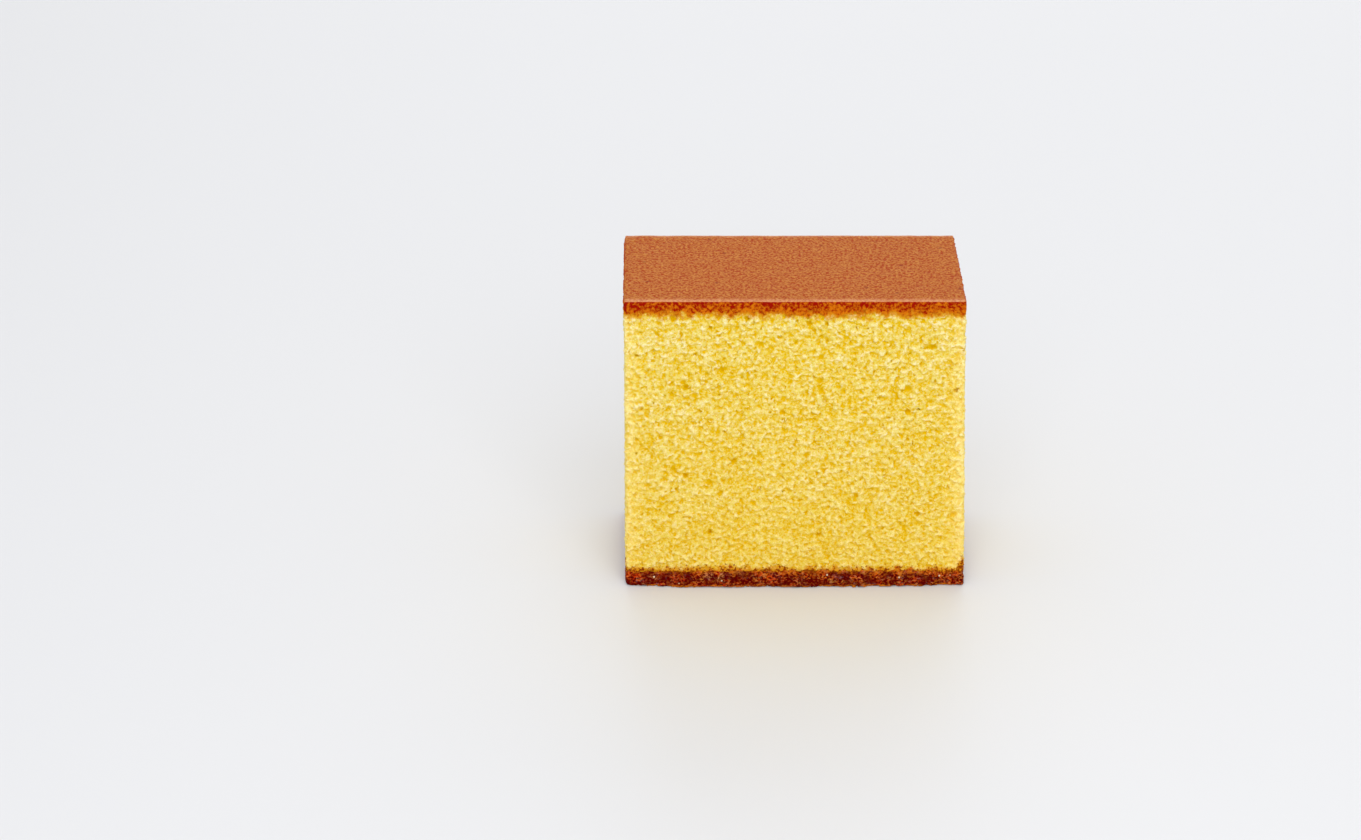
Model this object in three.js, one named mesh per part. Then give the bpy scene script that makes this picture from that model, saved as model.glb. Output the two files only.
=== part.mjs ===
// A slice of castella, the tall Japanese sponge cake, as one closed solid in millimetres.
//
// The slice stands on its browned foot as it does on a plate: X runs across the loaf, Y along it from
// one knife cut to the other, and Z is up. The origin is the middle of the foot. A flat baked skin with
// a thin rolled edge covers the top, the open crumb of the four cut sides is pitted by its pores, and a
// moist, lumpy crust forms the lowest few millimetres.
//
// The surface is a stack of closed rings. Every ring has the same number of points, so each pair of
// neighbours is joined by one band of triangles, and a flat fan closes each end of the stack.

import * as THREE from "three";

// Overall size
const WIDTH = 58.15; // across the loaf, at the foot of the front cut
const THICKNESS = 26.2; // between the two knife cuts
const HEIGHT = 54.2;
const RIGHT_LEAN = 1.0; // how far the right side leans in from foot to top
const RIGHT_SKEW = 0.94; // how far the right side runs in from the front cut to the back cut
const CORNER_RADIUS = 0.7; // of the four upright edges

// Baked top skin
const SKIN_THICKNESS = 0.5;
const SKIN_OVERHANG = 0.22; // the skin stands this far proud of the crumb below it
const SKIN_EDGE_RADIUS = 0.35;
const SKIN_RIM = 3.5; // width of the outer band of the top that is drawn down a little at the edge
const SKIN_DROP = 0.08; // how far the edge of the top lies below its middle
const UNDER_SKIN_TUCK = 0.12; // the crumb shrinks back just under the skin

// Crumb
const CRUMB_PITCH = 1.41; // spacing of the surface points
const PORE_SHARE = 0.36; // share of the points that lie at the bottom of an open pore
const PORE_DEPTH_FOOT = 0.75; // deepest pores at the foot of the crumb
const PORE_DEPTH_TOP = 1.25; // deepest pores just under the skin, where the crumb is most open
const PORE_SCATTER = 0.24; // how far a point strays along the surface, as a share of the pitch
const ROW_STAGGER = 0.22; // neighbouring rows are shifted this share of the pitch, one each way
const CRUMB_ROUGHNESS = 0.14; // unevenness of the cell walls between the pores

// Foot crust
const CRUST_HEIGHT = 2.6;
const CRUST_ROWS = 3;
const CRUST_OVERHANG = 0.24; // the crust stands this far proud of the crumb
const CRUST_BOW = 0.6; // the crust swells out this far more in the middle of each knife cut
const CRUST_LUMP = 0.42; // relief of its lumps
const CRUST_UPPER_EDGE = 0.35; // how much the line between crust and crumb rises and falls
const CRUST_GROOVE = 0.18; // the surface runs in this far along that line
const FOOT_LIFT = 0.5; // highest that the ragged lower edge lifts off the plate
const FOOT_INSET = 1.3; // the flat contact face starts this far in

// Repeatable random numbers from 0 to 1 (mulberry32)
const SEED = 20;
function seededRandom(seed) {
  let state = seed >>> 0;
  return () => {
    state = (state + 0x6d2b79f5) >>> 0;
    let t = Math.imul(state ^ (state >>> 15), 1 | state);
    t = (t + Math.imul(t ^ (t >>> 7), 61 | t)) ^ t;
    return ((t ^ (t >>> 14)) >>> 0) / 4294967296;
  };
}
const random = seededRandom(SEED);
const spread = (amount) => (random() * 2 - 1) * amount;

// The outline of the block at the foot as stations: a point on one side or corner of a rounded
// rectangle, with its outward direction, and the share of the pitch by which it may stray.
function outlineStations() {
  const halfX = WIDTH / 2 - CORNER_RADIUS;
  const halfY = THICKNESS / 2 - CORNER_RADIUS;
  const corners = [
    [halfX, -halfY, -Math.PI / 2],
    [halfX, halfY, 0],
    [-halfX, halfY, Math.PI / 2],
    [-halfX, -halfY, Math.PI],
  ];
  const cornerSteps = 2;
  const stations = [];
  corners.forEach(([x, y, start], i) => {
    for (let step = 0; step <= cornerSteps; step++) {
      const angle = start + (step / cornerSteps) * (Math.PI / 2);
      const normal = new THREE.Vector2(Math.cos(angle), Math.sin(angle));
      stations.push({ base: new THREE.Vector2(x, y), normal, loose: 0 });
    }
    const [nextX, nextY, side] = corners[(i + 1) % corners.length];
    const length = Math.hypot(nextX - x, nextY - y);
    const parts = Math.round(length / CRUMB_PITCH);
    const normal = new THREE.Vector2(Math.cos(side), Math.sin(side));
    for (let part = 1; part < parts; part++) {
      const share = part / parts;
      const base = new THREE.Vector2(x + (nextX - x) * share, y + (nextY - y) * share);
      stations.push({ base, normal, loose: 1 });
    }
  });
  return stations;
}
const stations = outlineStations();

// Where a station stands at height z. It is pushed out from the side by `out`, moved along the side by
// `slide` and, on the top and the foot, drawn towards the middle by `inset`. The right side leans and skews.
function placed(station, z, out, slide, inset) {
  const reach = CORNER_RADIUS + out;
  const alongSide = new THREE.Vector2(-station.normal.y, station.normal.x);
  const flat = station.base.clone().addScaledVector(station.normal, reach).addScaledVector(alongSide, slide);
  const x = flat.x * (1 - (2 * inset) / WIDTH);
  const y = flat.y * (1 - (2 * inset) / THICKNESS);
  const towardsRight = x / WIDTH + 0.5;
  const towardsBack = y / THICKNESS + 0.5;
  const drawnIn = RIGHT_LEAN * (z / HEIGHT) + RIGHT_SKEW * towardsBack;
  return new THREE.Vector3(x - drawnIn * towardsRight, y, z);
}

// One ring: `shape(station, index)` gives z and out, and where they aren't 0, slide, inset and pore depth.
function ring(shape) {
  return stations.map((station, index) => {
    const { z, out, slide = 0, inset = 0, pore = 0 } = shape(station, index);
    return { point: placed(station, z, out - pore, slide, inset), pore };
  });
}

// How far the bow of the knife cuts pushes a station of the crust out: all in the middle, none at the corners.
function bowAt(station) {
  const fromMiddle = (2 * station.base.x) / WIDTH;
  return CRUST_BOW * (1 - fromMiddle ** 2) * Math.abs(station.normal.y);
}

// The flat contact face ends at the first ring; the ragged lower edge of the crust is the second.
function footRings() {
  return [
    ring((station) => ({ z: 0, out: bowAt(station), inset: FOOT_INSET + spread(0.3) * station.loose })),
    ring((station) => ({ z: FOOT_LIFT * random() ** 2 + 0.04, out: bowAt(station) - 0.12 + spread(0.2) })),
  ];
}

// Lumps of caramelised sugar: each row bulges and shrinks back at random round the slice.
function crustRings() {
  const rings = [];
  for (let row = 1; row <= CRUST_ROWS; row++) {
    const share = row / (CRUST_ROWS + 1);
    const bulge = Math.sin(share * Math.PI) * CRUST_OVERHANG;
    rings.push(
      ring((station) => ({
        z: FOOT_LIFT + share * (CRUST_HEIGHT - FOOT_LIFT) + spread(0.16),
        out: bulge + bowAt(station) * (1 - share / 2) + spread(CRUST_LUMP / 2) * (0.4 + 0.6 * station.loose),
        slide: spread(0.35) * station.loose,
      })),
    );
  }
  const upperEdge = () => ({ z: CRUST_HEIGHT + spread(CRUST_UPPER_EDGE), out: spread(0.06) - CRUST_GROOVE });
  rings.push(ring(upperEdge));
  return rings;
}

// Rows of crumb. About a third of the points are pore bottoms, deeper towards the top of the cake.
function crumbRings() {
  const bottom = CRUST_HEIGHT + CRUMB_PITCH * 0.8;
  const top = HEIGHT - SKIN_THICKNESS - CRUMB_PITCH * 0.7;
  const rows = Math.round((top - bottom) / CRUMB_PITCH);
  const rings = [];
  for (let row = 0; row <= rows; row++) {
    const share = row / rows;
    const deepest = THREE.MathUtils.lerp(PORE_DEPTH_FOOT, PORE_DEPTH_TOP, share);
    const stagger = row % 2 === 0 ? ROW_STAGGER : -ROW_STAGGER;
    rings.push(
      ring((station) => {
        const atCorner = station.loose === 0;
        const isPore = random() < (atCorner ? PORE_SHARE / 3 : PORE_SHARE);
        const depth = deepest * (0.35 + 0.65 * random()) * (atCorner ? 0.4 : 1);
        return {
          z: bottom + share * (top - bottom) + spread(PORE_SCATTER * CRUMB_PITCH),
          out: spread(CRUMB_ROUGHNESS),
          slide: (stagger + spread(PORE_SCATTER)) * CRUMB_PITCH * station.loose,
          pore: isPore ? depth : 0,
        };
      }),
    );
  }
  return rings;
}

// The skin: tucked crumb, lower lip, upper lip, the turn on to the top, and the inner edge of the rim.
function skinRings() {
  const lipFoot = HEIGHT - SKIN_THICKNESS;
  const uneven = stations.map(() => spread(0.05));
  const level = (z, out) => ring((_, index) => ({ z: z + uneven[index], out: out + uneven[index] }));
  return [
    level(lipFoot - 0.18, -UNDER_SKIN_TUCK),
    level(lipFoot, SKIN_OVERHANG),
    level(HEIGHT - SKIN_DROP - SKIN_EDGE_RADIUS * 0.4, SKIN_OVERHANG - 0.04),
    ring(() => ({ z: HEIGHT - SKIN_DROP, out: SKIN_OVERHANG - SKIN_EDGE_RADIUS })),
    ring(() => ({ z: HEIGHT, out: 0, inset: SKIN_RIM })),
  ];
}

// Two triangles for each step of a band. The diagonal joins the shallower pair, so a pore stays a pit.
function bandTriangles(lower, count, rings) {
  const triangles = [];
  for (let i = 0; i < count; i++) {
    const j = (i + 1) % count;
    const a = lower * count + i;
    const b = lower * count + j;
    const c = (lower + 1) * count + j;
    const d = (lower + 1) * count + i;
    const depthAC = rings[lower][i].pore + rings[lower + 1][j].pore;
    const depthBD = rings[lower][j].pore + rings[lower + 1][i].pore;
    if (depthAC <= depthBD) triangles.push(a, b, c, a, c, d);
    else triangles.push(a, b, d, b, c, d);
  }
  return triangles;
}

// A flat fan from the middle of an end ring to its points, facing up at the top and down at the foot.
function fanTriangles(firstIndex, count, middle, facesUp) {
  const triangles = [];
  for (let i = 0; i < count; i++) {
    const a = firstIndex + i;
    const b = firstIndex + ((i + 1) % count);
    triangles.push(middle, ...(facesUp ? [a, b] : [b, a]));
  }
  return triangles;
}

function castellaGeometry() {
  const rings = [...footRings(), ...crustRings(), ...crumbRings(), ...skinRings()];
  const count = stations.length;
  const last = rings.length - 1;
  const index = [];
  for (let lower = 0; lower < last; lower++) index.push(...bandTriangles(lower, count, rings));
  const points = rings.flat().map(({ point }) => point);
  index.push(...fanTriangles(0, count, points.length, false));
  index.push(...fanTriangles(last * count, count, points.length + 1, true));
  points.push(new THREE.Vector3(0, 0, 0), new THREE.Vector3(0, 0, HEIGHT));
  const geometry = new THREE.BufferGeometry();
  geometry.setFromPoints(points);
  geometry.setIndex(index);
  geometry.computeBoundingBox();
  const { min, max } = geometry.boundingBox;
  geometry.translate(-(min.x + max.x) / 2, -(min.y + max.y) / 2, 0);
  geometry.computeVertexNormals();
  return geometry;
}

function spongeMaterial() {
  return new THREE.MeshStandardMaterial({ color: 0xefce5a, roughness: 0.85, metalness: 0 });
}

const castella = new THREE.Mesh(castellaGeometry(), spongeMaterial());
castella.name = "castella_slice";

const root = new THREE.Group();
root.add(castella);

export default root;
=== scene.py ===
"""A slice of castella: open yellow crumb between a thin baked skin and a moist, lumpy foot crust.

Everything is in metres. X runs across the loaf, Y from the front cut to the back cut, Z up, and the
origin is the middle of the foot. Crumb, top skin and foot crust are pieces of their own, each grown by
a geometry tree, and all of them ride on the one CAD body.
"""

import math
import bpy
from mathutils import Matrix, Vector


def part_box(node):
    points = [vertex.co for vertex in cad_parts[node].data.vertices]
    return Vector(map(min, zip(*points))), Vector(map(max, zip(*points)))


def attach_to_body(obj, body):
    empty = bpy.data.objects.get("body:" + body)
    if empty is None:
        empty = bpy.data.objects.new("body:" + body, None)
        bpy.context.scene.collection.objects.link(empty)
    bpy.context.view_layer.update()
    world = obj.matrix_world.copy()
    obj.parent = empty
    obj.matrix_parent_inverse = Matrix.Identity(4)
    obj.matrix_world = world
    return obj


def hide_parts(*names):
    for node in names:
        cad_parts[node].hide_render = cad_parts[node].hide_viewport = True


bl_info = {
    "name": "Castella slice",
    "version": (1, 0, 0),
    "blender": (4, 5, 0),
    "location": "3D Viewport > Sidebar > Castella",
    "description": "Builds a cut slice of castella sponge cake with its crumb, skin and crust",
    "category": "Object",
}

import bpy
from bpy.props import FloatProperty, FloatVectorProperty, IntProperty, PointerProperty

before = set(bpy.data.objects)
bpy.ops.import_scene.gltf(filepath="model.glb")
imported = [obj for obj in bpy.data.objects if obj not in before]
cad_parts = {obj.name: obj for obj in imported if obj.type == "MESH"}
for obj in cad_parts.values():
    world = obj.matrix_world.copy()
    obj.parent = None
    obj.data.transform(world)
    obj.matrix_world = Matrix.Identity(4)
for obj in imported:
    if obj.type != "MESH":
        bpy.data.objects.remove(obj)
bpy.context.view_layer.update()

NODE = "castella_slice"
BODY = "root"
MM = 0.001
SLICE_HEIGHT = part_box(NODE)[1][2]
GRID_MARGIN = 1.8 * MM  # empty room round a sampled shape
BLOCK_SIZES = ("width", "thickness", "height", "right_lean", "right_skew")  # what every piece needs to know


def srgb(code):
    """A colour written as six hex digits, as the linear values that Blender's sockets hold."""
    values = [int(code[i : i + 2], 16) / 255 for i in (0, 2, 4)]
    return [v / 12.92 if v <= 0.04045 else ((v + 0.055) / 1.055) ** 2.4 for v in values]


# ---- sizes and colours


def length(name, description, millimetres):
    """A property for a size, shown in the scene's length unit."""
    return FloatProperty(
        name=name, description=description, default=millimetres * MM, unit="LENGTH", precision=5
    )


def number(name, description, value):
    """A property for a plain number."""
    return FloatProperty(name=name, description=description, default=value)


def whole_number(name, description, value):
    """A property for a count."""
    return IntProperty(name=name, description=description, default=value)


def colour(name, description, code):
    """A property for a colour, given as six hex digits."""
    return FloatVectorProperty(
        name=name, description=description, default=srgb(code), subtype="COLOR", min=0, max=1
    )


class CastellaBlock(bpy.types.PropertyGroup):
    """The block that the knife left."""

    width: length("Width", "Across the loaf, at the foot of the front cut", 58.4)
    thickness: length("Thickness", "Between the two knife cuts", 26.2)
    height: length("Height", "From the plate to the top of the skin", SLICE_HEIGHT / MM)
    right_lean: length("Right lean", "How far the right side leans in from foot to top", 1.0)
    right_skew: length("Right skew", "How far the right side runs in from front to back", 0.94)
    corner_radius: length("Corner radius", "Of the four upright edges", 0.6)


class CastellaCrumb(bpy.types.PropertyGroup):
    """The open sponge between skin and crust."""

    coarse_pore: length("Coarse pore", "Radius of the largest bubbles", 0.58)
    middle_pore: length("Middle pore", "Radius of the common bubbles", 0.36)
    fine_pore: length("Fine pore", "Radius of the smallest bubbles", 0.25)
    pore_slope: number("Pore slope", "How fast a pore narrows below the cut", 0.5)
    roughness: length("Cut roughness", "Unevenness of the torn cell walls", 0.66)
    flare: length("Flare", "How far the crumb swells out just under the skin", 0.15)
    voxel: length("Voxel", "Grid step that the crumb is sampled at", 0.19)
    triangles: whole_number("Triangles", "Most triangles in each half of the crumb", 190000)
    quick_triangles: whole_number("Quick triangles", "Most triangles in the slab of a quick run", 120000)
    # partly the walls' own pale yellow, partly a painted highlight on the ridges
    wall_colour: colour("Wall colour", "Cell walls at the cut", "F0E4B2")
    body_colour: colour("Body colour", "The sponge in general", "E5D068")
    # partly the sponge's own yellow, partly painted shade and bounce light in pores and on faces that look
    # down
    pore_colour: colour("Pore colour", "Inside a pore", "DFB500")
    # painted shade at the bottom of the deepest pores
    deep_shade_colour: colour("Deep colour", "At the bottom of the deepest pores", "C89200")
    foot_tint: colour("Foot tint", "Multiplies the yellows towards the foot", "FEF5CC")
    baked_colour: colour("Baked colour", "Darkest crumb just under the skin", "981000")
    toasted_colour: colour("Toasted colour", "Lightest crumb just under the skin", "D07208")
    amber_colour: colour("Amber colour", "Between brown and yellow", "D08C14")
    fleck_colour: colour("Fleck colour", "Flecks just above the crust", "802800")


class CastellaSkin(bpy.types.PropertyGroup):
    """The flat baked skin."""

    thickness: length("Thickness", "Of the skin", 0.5)
    overhang: length("Overhang", "How far the skin stands proud of the crumb", 0.04)
    edge_radius: length("Edge radius", "Of the knife's edge along the skin", 0.14)
    rim: length("Rim", "Width of the band that rolls down to the edge", 1.1)
    wrinkle: length("Wrinkle", "Height of its fine wrinkles", 0.035)
    droop: length("Droop", "How far the rim lies below the middle", 0.07)
    base_colour: colour("Skin colour", "The skin in general", "C68138")
    groove_colour: colour("Groove colour", "Between its wrinkles", "A63A00")
    speck_colour: colour("Speck colour", "Tiny dark specks", "7C2608")
    # painted highlight: the rolled edge as it catches the light
    rim_highlight_colour: colour("Rim colour", "The rolled edge", "E2A478")


class CastellaCrust(bpy.types.PropertyGroup):
    """The moist caramelised foot."""

    height: length("Height", "Of the crust", 2.85)
    bow: length("Bow", "How far the crust bows out along each cut", 0.55)
    bow_shift: length("Bow shift", "How far to the left of the middle it bows out most", 4.0)
    flange: length("Flange", "How far the thin dry rim at the plate stands out", 1.15)
    reach: length("Reach", "Farthest that anything of the crust stands out", 1.7)
    lump_width: length("Lump width", "Across one lump of caramelised sugar", 1.9)
    lump_height: length("Lump height", "How far a lump stands out", 0.3)
    foot_lift: length("Foot lift", "Highest that the ragged lower edge lifts off the plate", 0.2)
    voxel: length("Voxel", "Grid step that the crust is sampled at", 0.15)
    triangles: whole_number("Triangles", "Most triangles in the crust", 120000)
    # the dark curds, and the painted shade in the creases and above the rim at the plate
    dark_colour: colour("Dark colour", "Creases between the lumps", "5C0000")
    warm_colour: colour("Warm colour", "The caramelised lumps", "C24606")
    red_colour: colour("Red colour", "Moist places", "CC3A08")
    amber_colour: colour("Amber colour", "Threads where the crust is thin", "D88C20")
    toasted_colour: colour("Toasted colour", "Upper edge, and the rim at the plate", "D07212")
    # painted sheen: a reflection of the room on the moist lumps
    sheen_colour: colour("Sheen colour", "Dry film on the lumps", "C48C5A")
    # cream specks: partly sugar crystals, partly painted glints
    sugar_and_glint_colour: colour("Sugar colour", "Stray sugar crystals", "F2DCB8")


class CastellaStage(bpy.types.PropertyGroup):
    """Floor, light and camera."""

    floor_colour: colour("Floor colour", "Plain pale floor", "E0E1E4")
    back_power: number("Back power", "Watts of the soft light above and behind", 0.3)
    rear_power: number("Rear power", "Watts of the low soft light behind", 1.8)
    top_power: number("Top power", "Watts of the soft light above and in front", 2.7)
    front_power: number("Front power", "Watts of the low soft light in front", 2.6)
    world_strength: number("World strength", "Light from all around", 0.75)
    lens: number("Lens", "Focal length in millimetres on a 36 mm sensor", 137.9)


# ---- node helpers


class NodeSheet:
    """Adds nodes to one tree. The short methods return the new node's result, so calls nest."""

    def __init__(self, tree):
        self.tree = tree

    def node(self, kind, inputs=None, **settings):
        made = self.tree.nodes.new(kind)
        for name, value in settings.items():
            setattr(made, name, value)
        for key, value in (inputs or {}).items():
            self.link(value, made.inputs[key])
        return made

    def link(self, value, socket):
        """Gives a socket another node's result or a plain value."""
        if isinstance(value, bpy.types.NodeSocket):
            self.tree.links.new(value, socket)
        else:
            socket.default_value = value

    def math(self, operation, *values):
        return self.node("ShaderNodeMath", dict(enumerate(values)), operation=operation).outputs[0]

    def vector(self, operation, *values):
        made = self.node("ShaderNodeVectorMath", operation=operation)
        for socket, value in zip([s for s in made.inputs if s.enabled], values):
            self.link(value, socket)
        return next(s for s in made.outputs if s.enabled)

    def add(self, a, b):
        return self.math("ADD", a, b)

    def subtract(self, a, b):
        return self.math("SUBTRACT", a, b)

    def times(self, a, *others):
        for b in others:
            a = self.math("MULTIPLY", a, b)
        return a

    def divide(self, a, b):
        return self.math("DIVIDE", a, b)

    def larger(self, a, b):
        return self.math("MAXIMUM", a, b)

    def smaller(self, a, b):
        return self.math("MINIMUM", a, b)

    def absolute(self, a):
        return self.math("ABSOLUTE", a)

    def remap(self, value, low, high, to_low=0.0, to_high=1.0, smooth=False):
        """Takes low..high to to_low..to_high and holds it there."""
        style = "SMOOTHSTEP" if smooth else "LINEAR"
        inputs = {0: value, 1: low, 2: high, 3: to_low, 4: to_high}
        return self.node("ShaderNodeMapRange", inputs, interpolation_type=style).outputs[0]

    def split(self, vector):
        return self.node("ShaderNodeSeparateXYZ", {0: vector}).outputs

    def join(self, x, y, z):
        return self.node("ShaderNodeCombineXYZ", {0: x, 1: y, 2: z}).outputs[0]

    def noise(self, vector, size, detail=2.0, roughness=0.5, distortion=0.0):
        """Noise whose features are `size` across."""
        inputs = {
            "Vector": vector,
            "Scale": 1 / size if isinstance(size, float) else self.divide(1.0, size),
            "Detail": detail,
            "Roughness": roughness,
            "Distortion": distortion,
        }
        return self.node("ShaderNodeTexNoise", inputs).outputs[0]

    def shifted(self, vector, size, detail, reach):
        """A place moved about by noise whose features are `size` across, by up to half of `reach`."""
        noise = self.node("ShaderNodeTexNoise", {"Vector": vector, "Scale": 1 / size, "Detail": detail})
        away = self.vector("SUBTRACT", noise.outputs["Color"], (0.5, 0.5, 0.5))
        return self.vector("ADD", vector, self.vector("MULTIPLY", away, (reach, reach, reach)))

    def cells(self, vector, size):
        """Cells that are `size` across."""
        scale = 1 / size if isinstance(size, float) else self.divide(1.0, size)
        return self.node("ShaderNodeTexVoronoi", {"Vector": vector, "Scale": scale}).outputs

    def swing(self, value, amount):
        """A value from 0 to 1 as one from -amount to amount."""
        return self.times(self.subtract(value, 0.5), self.times(amount, 2.0))

    def blend(self, factor, a, b, mode="MIX"):
        """A mix of two colours."""
        made = self.node("ShaderNodeMix", {0: factor}, data_type="RGBA", blend_type=mode)
        for index, value in ((6, a), (7, b)):
            plain = not isinstance(value, bpy.types.NodeSocket)
            self.link((*value, 1.0) if plain else value, made.inputs[index])
        return made.outputs[2]

    def material_place(self):
        """In a material, the place in the piece's own coordinates."""
        return self.node("ShaderNodeTexCoord").outputs["Object"]

    def shape_place(self):
        """In a geometry tree, the place of each vertex or grid point."""
        return self.node("GeometryNodeInputPosition").outputs[0]

    def stored(self, name):
        """In a material, a value that the geometry tree stored on each vertex."""
        return self.node("ShaderNodeAttribute", attribute_name=name).outputs["Fac"]


def new_tree(name, kind, inputs, outputs):
    """A node group with its sockets. A number among the inputs is a float socket's default."""
    tree = bpy.data.node_groups.new(name, kind)
    for label, value in inputs.items():
        socket_type = value if isinstance(value, str) else "NodeSocketFloat"
        socket = tree.interface.new_socket(label, in_out="INPUT", socket_type=socket_type)
        if value != socket_type:
            socket.default_value = value
    for label, socket_type in outputs.items():
        tree.interface.new_socket(label, in_out="OUTPUT", socket_type=socket_type)
    start = tree.nodes.new("NodeGroupInput")
    end = tree.nodes.new("NodeGroupOutput")
    return tree, NodeSheet(tree), start.outputs, end.inputs


def shape_tree(name, sizes):
    """A geometry tree whose inputs are the given sizes."""
    return new_tree(name, "GeometryNodeTree", sizes, {"Geometry": "NodeSocketGeometry"})


def finish_tree(sheet, geometry, material, end):
    """Smooth faces, real geometry and one material close every geometry tree."""
    smooth = sheet.node("GeometryNodeSetShadeSmooth", {0: geometry})
    real = sheet.node("GeometryNodeRealizeInstances", {0: smooth.outputs[0]})
    painted = sheet.node("GeometryNodeSetMaterial", {"Geometry": real.outputs[0], "Material": material})
    sheet.link(painted.outputs[0], end["Geometry"])


def grow(name, tree, sizes, most_triangles=None):
    """Runs a geometry tree and keeps what it makes as a plain mesh object."""
    piece = bpy.data.objects.new(name, bpy.data.meshes.new(name))
    bpy.context.scene.collection.objects.link(piece)
    shape = piece.modifiers.new("Shape", "NODES")
    shape.node_group = tree
    for item in tree.interface.items_tree:
        if item.in_out == "INPUT" and item.name in sizes:
            shape[item.identifier] = sizes[item.name]
    keep_result(piece)
    count = sum(len(face.vertices) - 2 for face in piece.data.polygons)
    if most_triangles and count > most_triangles:
        thin = piece.modifiers.new("Thin", "DECIMATE")
        thin.ratio = most_triangles / count
        thin.use_collapse_triangulate = True
        keep_result(piece)
    piece.data.name = name
    return piece


def keep_result(piece):
    """Replaces the object's mesh by what its modifiers make of it, and removes them."""
    graph = bpy.context.evaluated_depsgraph_get()
    mesh = bpy.data.meshes.new_from_object(piece.evaluated_get(graph), depsgraph=graph)
    piece.modifiers.clear()
    piece.data = mesh


def sizes_of(group, *names):
    """Some properties of a group by their labels, which the geometry trees' inputs have as names."""
    return {group.bl_rna.properties[name].name: getattr(group, name) for name in names}


def attach(piece):
    """Puts a finished piece on the CAD body in place of the plain solid."""
    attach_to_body(piece, BODY)
    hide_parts(NODE)


# ---- shared groups

LEAN_SIZES = ("Thickness", "Height", "Right lean", "Right skew")  # what decides the right side's place
SPECK_SPACING = 9.0  # in grains
BLOTCH_SIZE = 0.6 * MM  # across one blotch of the baked crumb
BLOTCH_FADE = (0.3 * MM, 2.4 * MM)  # below the skin, over which the baked crumb gets lighter


def lean_group():
    """How far the right side is drawn in at a place."""
    inputs = {"Position": "NodeSocketVector", **dict.fromkeys(LEAN_SIZES, 0.0)}
    outputs = {"Drawn in": "NodeSocketFloat"}
    _, sheet, given, end = new_tree("Right side", "GeometryNodeTree", inputs, outputs)
    _, y, z = sheet.split(given["Position"])
    up = sheet.times(sheet.divide(z, given["Height"]), given["Right lean"])
    back = sheet.times(sheet.add(sheet.divide(y, given["Thickness"]), 0.5), given["Right skew"])
    sheet.link(sheet.add(up, back), end["Drawn in"])


def rounded_box(sheet, vertices, sizes, radius):
    """A closed box of even quads with rounded edges, centred.

    Returns the box, each vertex's place with the edges rounded, and its outward direction.
    """
    inputs = {"Size": sheet.join(*sizes)}
    for axis, number_of_vertices in zip("XYZ", vertices):
        inputs["Vertices " + axis] = number_of_vertices
    cube = sheet.node("GeometryNodeMeshCube", inputs)
    place = sheet.shape_place()
    half = sheet.join(*[sheet.subtract(sheet.times(size, 0.5), radius) for size in sizes])
    core = sheet.vector("MINIMUM", place, half)
    core = sheet.vector("MAXIMUM", core, sheet.vector("MULTIPLY", half, (-1, -1, -1)))
    outward = sheet.vector("NORMALIZE", sheet.vector("SUBTRACT", place, core))
    reach = sheet.vector("MULTIPLY", outward, sheet.join(radius, radius, radius))
    return cube.outputs["Mesh"], sheet.vector("ADD", core, reach), outward


def leaned(sheet, given, place):
    """A place with the right side's lean and skew put in, and how far that side is drawn in there."""
    drawn = sheet.node("GeometryNodeGroup", node_tree=bpy.data.node_groups["Right side"])
    sheet.link(place, drawn.inputs["Position"])
    for name in LEAN_SIZES:
        sheet.link(given[name], drawn.inputs[name])
    x, y, z = sheet.split(place)
    share = sheet.add(sheet.divide(x, given["Width"]), 0.5)
    return sheet.join(sheet.subtract(x, sheet.times(share, drawn.outputs[0])), y, z), drawn.outputs[0]


def side_distance(sheet, given, place):
    """Distance from the block's four upright sides, below 0 inside."""
    x, y, _ = sheet.split(place)
    _, drawn = leaned(sheet, given, place)
    radius = given["Corner radius"]
    across = sheet.absolute(sheet.add(x, sheet.times(drawn, 0.5)))
    across = sheet.subtract(across, sheet.times(sheet.subtract(given["Width"], drawn), 0.5))
    along = sheet.subtract(sheet.absolute(y), sheet.times(given["Thickness"], 0.5))
    across = sheet.add(across, radius)
    along = sheet.add(along, radius)
    corner = sheet.vector("LENGTH", sheet.join(sheet.larger(across, 0.0), sheet.larger(along, 0.0), 0.0))
    flat = sheet.smaller(sheet.larger(across, along), 0.0)
    return sheet.subtract(sheet.add(corner, flat), radius)


def grid_surface(sheet, given, distance, lows, highs):
    """The surface where a distance is 0, sampled on a grid. A limit of None is the block's own side.

    Density falls from 1 to 0 over three grid steps, and every grid uses one lattice, so halves meet.
    """
    density = sheet.remap(sheet.divide(distance, given["Voxel"]), -1.5, 1.5, 1.0, 0.0)
    halves = (sheet.times(given["Width"], 0.5), sheet.times(given["Thickness"], 0.5), None)
    minimum, maximum = [], []
    for half, low, high in zip(halves, lows, highs):
        if half:
            edge = sheet.add(half, GRID_MARGIN)
            low = sheet.larger(sheet.times(edge, -1.0), low) if low else sheet.times(edge, -1.0)
            high = sheet.smaller(edge, high) if high else edge
        else:
            low = sheet.subtract(low, GRID_MARGIN)
            high = sheet.add(high, GRID_MARGIN)
        minimum.append(sheet.math("SNAP", low, given["Voxel"]))
        maximum.append(sheet.math("SNAP", high, given["Voxel"]))
    inputs = {"Density": density, "Min": sheet.join(*minimum), "Max": sheet.join(*maximum)}
    for axis, low, high in zip("XYZ", minimum, maximum):
        steps = sheet.math("ROUND", sheet.divide(sheet.subtract(high, low), given["Voxel"]))
        inputs["Resolution " + axis] = sheet.add(steps, 1.0)
    grid = sheet.node("GeometryNodeVolumeCube", inputs)
    return sheet.node("GeometryNodeVolumeToMesh", {"Volume": grid.outputs[0], "Threshold": 0.5}).outputs[0]


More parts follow.
